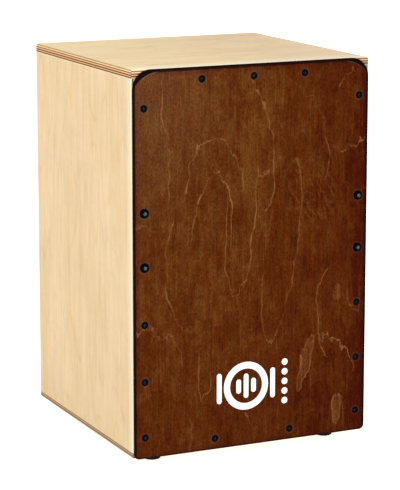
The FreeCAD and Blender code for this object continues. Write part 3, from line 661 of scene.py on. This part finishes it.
def foot_rubber():
    """Moulded rubber: a fine matt skin, dusty where it stands on the floor."""
    shader = Shader("foot_rubber")
    skin = shader.noise(shader.place, (0.35, 0.35, 0.35), 3.0, 0.6)
    bloom = shader.noise(shader.place, (5.0, 5.0, 3.0), 2.0)
    dust = shader.times(shader.ramp(shader.z, 3.0, 0.0, 0.0, 0.6), bloom)
    colour = shader.mix(shader.ramp(bloom, 0.35, 0.7), RUBBER, RUBBER_BLOOM)
    colour = shader.mix(dust, colour, DUST)
    roughness = shader.scale(skin, 0.5, 0.8)
    return shader.finish(colour, roughness, skin, 0.06, Specular_IOR_Level=0.06)


def mark_white():
    """Screen-printed white ink: slightly uneven cover over the grain below."""
    shader = Shader("mark_white")
    weave = shader.noise(shader.place, (0.8, 2.0, 20.0), 3.0, 0.6)
    thin = shader.ramp(weave, 0.58, 0.8, 0.0, 0.16)
    colour = shader.mix(thin, INK, INK_THIN)
    roughness = shader.scale(weave, 0.35, 0.55)
    return shader.finish(colour, roughness, weave, 0.02, Specular_IOR_Level=0.3)


def studio_white():
    """A seamless paper floor, pale and very slightly uneven."""
    shader = Shader("studio_paper")
    tooth = shader.noise(shader.place, (1.2, 1.2, 1.2), 3.0)
    wave = shader.noise(shader.place, (420.0, 420.0, 420.0), 2.0)
    colour = shader.mix(wave, PAPER_DARK, PAPER_PALE)
    roughness = shader.scale(tooth, 0.7, 0.9)
    glow = {"Emission_Color": WHITE, "Emission_Strength": PAPER_GLOW}
    return shader.finish(colour, roughness, tooth, 0.03, Specular_IOR_Level=0.1, **glow)


# ---------------------------------------------------------------- the frame's looks


# Growth hills of the face veneers: across, along, half-width, half-height, and rise in rings.
WALL_HILLS = (
    (-40, 300, 30, 130, 1.6),
    (60, 330, 34, 110, 1.4),
    (-90, 150, 40, 120, 1.3),
    (95, 70, 26, 60, 1.5),
)
BACK_HILLS = ((-60, 260, 46, 190, 2.0), (70, 150, 40, 150, 1.7), (20, 380, 60, 90, -1.4))
SEAT_HILLS = ((-70, 40, 50, 120, 1.6), (60, -60, 44, 130, 1.5))

# What multiplies each board's colour at the two ends of its grain, and the painted shade on the seat's
# cut edge.
WALL_TINTS = ((0.875, 0.875, 0.875), (0.91, 0.91, 0.91))
SEAT_TINTS = ((1.085, 1.115, 1.060), (0.906, 0.888, 0.865))
SEAT_EDGE_SHADE = (0.82, 0.63, 0.51)
BASE_TINTS = ((0.66, 0.66, 0.66), (0.66, 0.66, 0.66))
BACK_TINTS = ((0.97, 0.97, 0.97), WHITE)

# How many plies each board has, and how far back from its front edge a painted highlight reaches, in
# mm.
WALL_PLIES = 5
SEAT_PLIES = 7
BASE_PLIES = 5
BACK_PLIES = 3
WALL_HIGHLIGHT_REACH = 17.0
SEAT_HIGHLIGHT_REACH = 36.0

wall_left = birch_plywood(
    "birch_wall_left", "y", "z", "x", LEFT_LOW.x, LEFT_HIGH.x, WALL_PLIES,
    WALL_HILLS, WALL_TINTS, WALL_HIGHLIGHT_REACH,
)
wall_right = birch_plywood(
    "birch_wall_right", "y", "z", "x", RIGHT_LOW.x, RIGHT_HIGH.x, WALL_PLIES,
    BACK_HILLS, WALL_TINTS, WALL_HIGHLIGHT_REACH,
)
seat = birch_plywood(
    "birch_seat", "y", "x", "z", SEAT_LOW.z, SEAT_HIGH.z, SEAT_PLIES,
    SEAT_HILLS, SEAT_TINTS, SEAT_HIGHLIGHT_REACH, SEAT_EDGE_SHADE,
)
base = birch_plywood(
    "birch_base", "y", "x", "z", BASE_LOW.z, BASE_HIGH.z, BASE_PLIES, SEAT_HILLS, BASE_TINTS
)
back = birch_plywood(
    "birch_back", "x", "z", "y", BACK_LOW.y, BACK_HIGH.y, BACK_PLIES, BACK_HILLS, BACK_TINTS
)
upright = softwood("spruce_upright", "z", (30.0, -40.0))
crosswise = softwood("spruce_crosswise", "x", (60.0, 300.0))

SCREW_GLINT = (0.085, 0.078, 0.080)
BOLT_GLINT = (0.25, 0.253, 0.28)
black_screw = blackened("black_screw", screw_recesses, SCREW_GLINT)
black_bolt = blackened("black_bolt", bolt_sockets, BOLT_GLINT)
brass = metal("insert_brass", (0.80, 0.60, 0.27), (0.55, 0.38, 0.16), 0.35)
steel = metal("snare_steel", (0.62, 0.62, 0.60), (0.42, 0.41, 0.40), 0.28)
zinc = metal("zinc_screw", (0.68, 0.68, 0.66), (0.50, 0.49, 0.45), 0.36)

CAD_LOOKS = {
    "top_panel": seat,
    "bottom_panel": base,
    "left_panel": wall_left,
    "right_panel": wall_right,
    "back_panel": back,
    "front_plate": stained_birch(),
    "front_plate_screws": black_screw,
    "snare_bolts": black_bolt,
    "snare_inserts": brass,
    "snare_bar": crosswise,
    "front_batten_top": crosswise,
    "front_batten_bottom": crosswise,
    "rear_batten_top": crosswise,
    "rear_batten_bottom": crosswise,
    "snare_bar_screws": zinc,
    "snare_plate_screws": zinc,
    "foot_washers": zinc,
    "foot_screws": zinc,
}
for side in ("left", "right"):
    CAD_LOOKS[f"front_batten_{side}"] = upright
    CAD_LOOKS[f"rear_batten_{side}"] = upright
    CAD_LOOKS[f"snare_block_{side}"] = upright
    CAD_LOOKS[f"snare_plate_{side}"] = steel
    CAD_LOOKS[f"snare_wires_{side}"] = steel
rubber = foot_rubber()
for corner in ("front_left", "front_right", "rear_left", "rear_right"):
    CAD_LOOKS[f"{corner}_foot"] = rubber

for name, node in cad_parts.items():
    if not node.material_slots:
        node.data.materials.append(None)
    for slot in node.material_slots:
        slot.material = CAD_LOOKS[name]


# ---------------------------------------------------------------- new pieces


def link(name, data):
    """A new object in the scene."""
    piece = bpy.data.objects.new(name, data)
    bpy.context.scene.collection.objects.link(piece)
    return piece


def capsule(middle_x, middle_z, width, height, steps=14):
    """Outline of an upright rounded bar, anticlockwise, in millimetres."""
    radius = width / 2
    rise = height / 2 - radius
    outline = []
    for end, start in ((1, 0.0), (-1, math.pi)):
        for step in range(steps + 1):
            angle = start + math.pi * step / steps
            x = middle_x + radius * math.cos(angle)
            outline.append((x, middle_z + end * rise + radius * math.sin(angle)))
    return outline


def circle(middle_x, middle_z, radius, steps=72):
    """Outline of a circle, anticlockwise, in millimetres."""
    return capsule(middle_x, middle_z, 2 * radius, 2 * radius, steps // 2)


# How far a printed shape's back lies inside the plate, in mm, so that no gap shows.
FILM_SINK = 0.02


def print_film(outlines, rings, face, thickness):
    """Vertices and faces of printed shapes that stand proud of the face by the thickness.

    An outline is filled. A ring is a pair of outlines with equal numbers of points.
    """
    vertices = []
    faces = []
    bottom = face + FILM_SINK
    top = face - thickness

    def stack(outline):
        first = len(vertices)
        vertices.extend((x * MM, bottom * MM, z * MM) for x, z in outline)
        vertices.extend((x * MM, top * MM, z * MM) for x, z in outline)
        return first, len(outline)

    def skirt(first, count, flip):
        for index in range(count):
            after = (index + 1) % count
            quad = (first + index, first + after, first + count + after, first + count + index)
            faces.append(quad[::-1] if flip else quad)

    for outline in outlines:
        first, count = stack(outline)
        skirt(first, count, False)
        faces.append(tuple(range(first + count, first + 2 * count)))
        faces.append(tuple(range(first + count - 1, first - 1, -1)))
    for outer, inner in rings:
        outer_first, count = stack(outer)
        inner_first, _ = stack(inner)
        skirt(outer_first, count, False)
        skirt(inner_first, count, True)
        for index in range(count):
            after = (index + 1) % count
            for lift, flip in ((count, False), (0, True)):
                quad = (
                    outer_first + lift + index,
                    outer_first + lift + after,
                    inner_first + lift + after,
                    inner_first + lift + index,
                )
                faces.append(quad[::-1] if flip else quad)
    return vertices, faces


# A generic mark in millimetres: a ring, upright bars in it and beside it, and a column of dots.
MARK_X = -8.5
MARK_Z = 82.5
RING_OUTER = 28.5
RING_INNER = 20.6
BAR_WIDTH = 6.2
BAR_HEIGHTS = {-34.4: 36, -9.6: 17, 0: 29, 9.6: 17, 34.4: 36}
DOTS_X = 41.5
DOT_SPACING = 11.6
DOT_RADIUS = 3.9
INK_THICKNESS = 0.12

mark_bars = [
    capsule(MARK_X + offset, MARK_Z, BAR_WIDTH, height) for offset, height in BAR_HEIGHTS.items()
]
mark_dots = [
    circle(DOTS_X, MARK_Z + step * DOT_SPACING, DOT_RADIUS, 32) for step in (-2, -1, 0, 1, 2)
]
mark_ring = (circle(MARK_X, MARK_Z, RING_OUTER), circle(MARK_X, MARK_Z, RING_INNER))
mesh = bpy.data.meshes.new("printed_mark")
vertices, faces = print_film(mark_bars + mark_dots, [mark_ring], PLATE_LOW.y, INK_THICKNESS)
mesh.from_pydata(vertices, [], faces)
mesh.materials.append(mark_white())
mark = link("printed_mark", mesh)
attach(mark, BODY)


# The snare wires: how many on a side, and in mm the wire, the coil's pitch, its slack inside
# the plain rod that it stands for, and how far its ends stop short of the rod's.
WIRES = 10
WIRE_DIAMETER = 0.42
COIL_PITCH = 2.1
COIL_SLACK = 0.02
COIL_INSET = 1
COIL_STEPS = 7


def snare_coils(side):
    """Ten coiled steel wires in place of one side's plain rods."""
    low, high = span(f"snare_wires_{side}")
    rod = high.y - low.y
    coil = (rod - WIRE_DIAMETER) / 2 - COIL_SLACK
    turns = int((high.z - low.z - 2 * COIL_INSET) / COIL_PITCH)
    curve = bpy.data.curves.new(f"snare_coils_{side}", "CURVE")
    curve.dimensions = "3D"
    curve.bevel_depth = WIRE_DIAMETER / 2 * MM
    curve.bevel_resolution = 0
    spacing = (high.x - low.x - rod) / (WIRES - 1)
    middle_y = (low.y + high.y) / 2
    for number in range(WIRES):
        middle_x = low.x + rod / 2 + number * spacing
        spline = curve.splines.new("POLY")
        spline.points.add(turns * COIL_STEPS)
        for index, point in enumerate(spline.points):
            angle = 2 * math.pi * index / COIL_STEPS + number
            point.co = (
                (middle_x + coil * math.cos(angle)) * MM,
                (middle_y + coil * math.sin(angle)) * MM,
                (low.z + COIL_INSET + COIL_PITCH * index / COIL_STEPS) * MM,
                1.0,
            )
    curve.materials.append(steel)
    piece = link(f"snare_coils_{side}", curve)
    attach(piece, BODY)
    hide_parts(f"snare_wires_{side}")


for side in ("left", "right"):
    snare_coils(side)


# ---------------------------------------------------------------- studio


def floor_disc(radius, rings, spokes):
    """Vertices and faces of a level disc round the origin, in metres."""
    vertices = [(0.0, 0.0, 0.0)]
    faces = []
    for ring in range(1, rings + 1):
        for spoke in range(spokes):
            angle = 2 * math.pi * spoke / spokes
            reach = radius * ring / rings
            vertices.append((reach * math.cos(angle), reach * math.sin(angle), 0.0))
    for spoke in range(spokes):
        faces.append((0, 1 + spoke, 1 + (spoke + 1) % spokes))
    for ring in range(rings - 1):
        for spoke in range(spokes):
            after = (spoke + 1) % spokes
            inner = 1 + ring * spokes
            outer = inner + spokes
            faces.append((inner + spoke, outer + spoke, outer + after, inner + after))
    return vertices, faces


FLOOR_RADIUS = 9.0
FLOOR_RINGS = 12
FLOOR_SPOKES = 64
mesh = bpy.data.meshes.new("studio_floor")
vertices, faces = floor_disc(FLOOR_RADIUS, FLOOR_RINGS, FLOOR_SPOKES)
mesh.from_pydata(vertices, [], faces)
mesh.materials.append(studio_white())
floor = link("studio_floor", mesh)


# What the lights are aimed at.
MIDDLE = (0.0, 0.0, 0.24)


def area_light(name, place, size, power):
    """A white panel aimed at the object's middle: place and size in metres, power in watts."""
    light = bpy.data.lights.new(name, "AREA")
    light.shape = "RECTANGLE"
    light.size, light.size_y = size
    light.energy = power
    piece = link(name, light)
    piece.location = place
    aim = Vector(MIDDLE) - Vector(place)
    piece.rotation_euler = aim.to_track_quat("-Z", "Y").to_euler()


area_light("key_front_left", (-1.9, -1.5, 1.6), (1.3, 1.6), 12.8)
area_light("overhead", (0.0, 0.2, 2.6), (2.4, 2.4), 5.0)
area_light("back_right", (1.7, 1.8, 1.5), (1.3, 1.6), 8.0)

world = bpy.data.worlds.new("studio")
world.use_nodes = True
background = world.node_tree.nodes["Background"]
background.inputs["Color"].default_value = (1.0, 1.0, 1.0, 1.0)
background.inputs["Strength"].default_value = 1.0
bpy.context.scene.world = world

lens = bpy.data.cameras.new("camera")
lens.lens = CAMERA_LENS
lens.sensor_width = CAMERA_SENSOR
lens.shift_y = CAMERA_SHIFT
camera = link("camera", lens)
camera.location = CAMERA_PLACE
camera.rotation_euler = Euler((math.radians(90 - CAMERA_DIP), 0, math.radians(-CAMERA_YAW)))
bpy.context.scene.camera = camera
bpy.context.scene.view_settings.view_transform = "Standard"
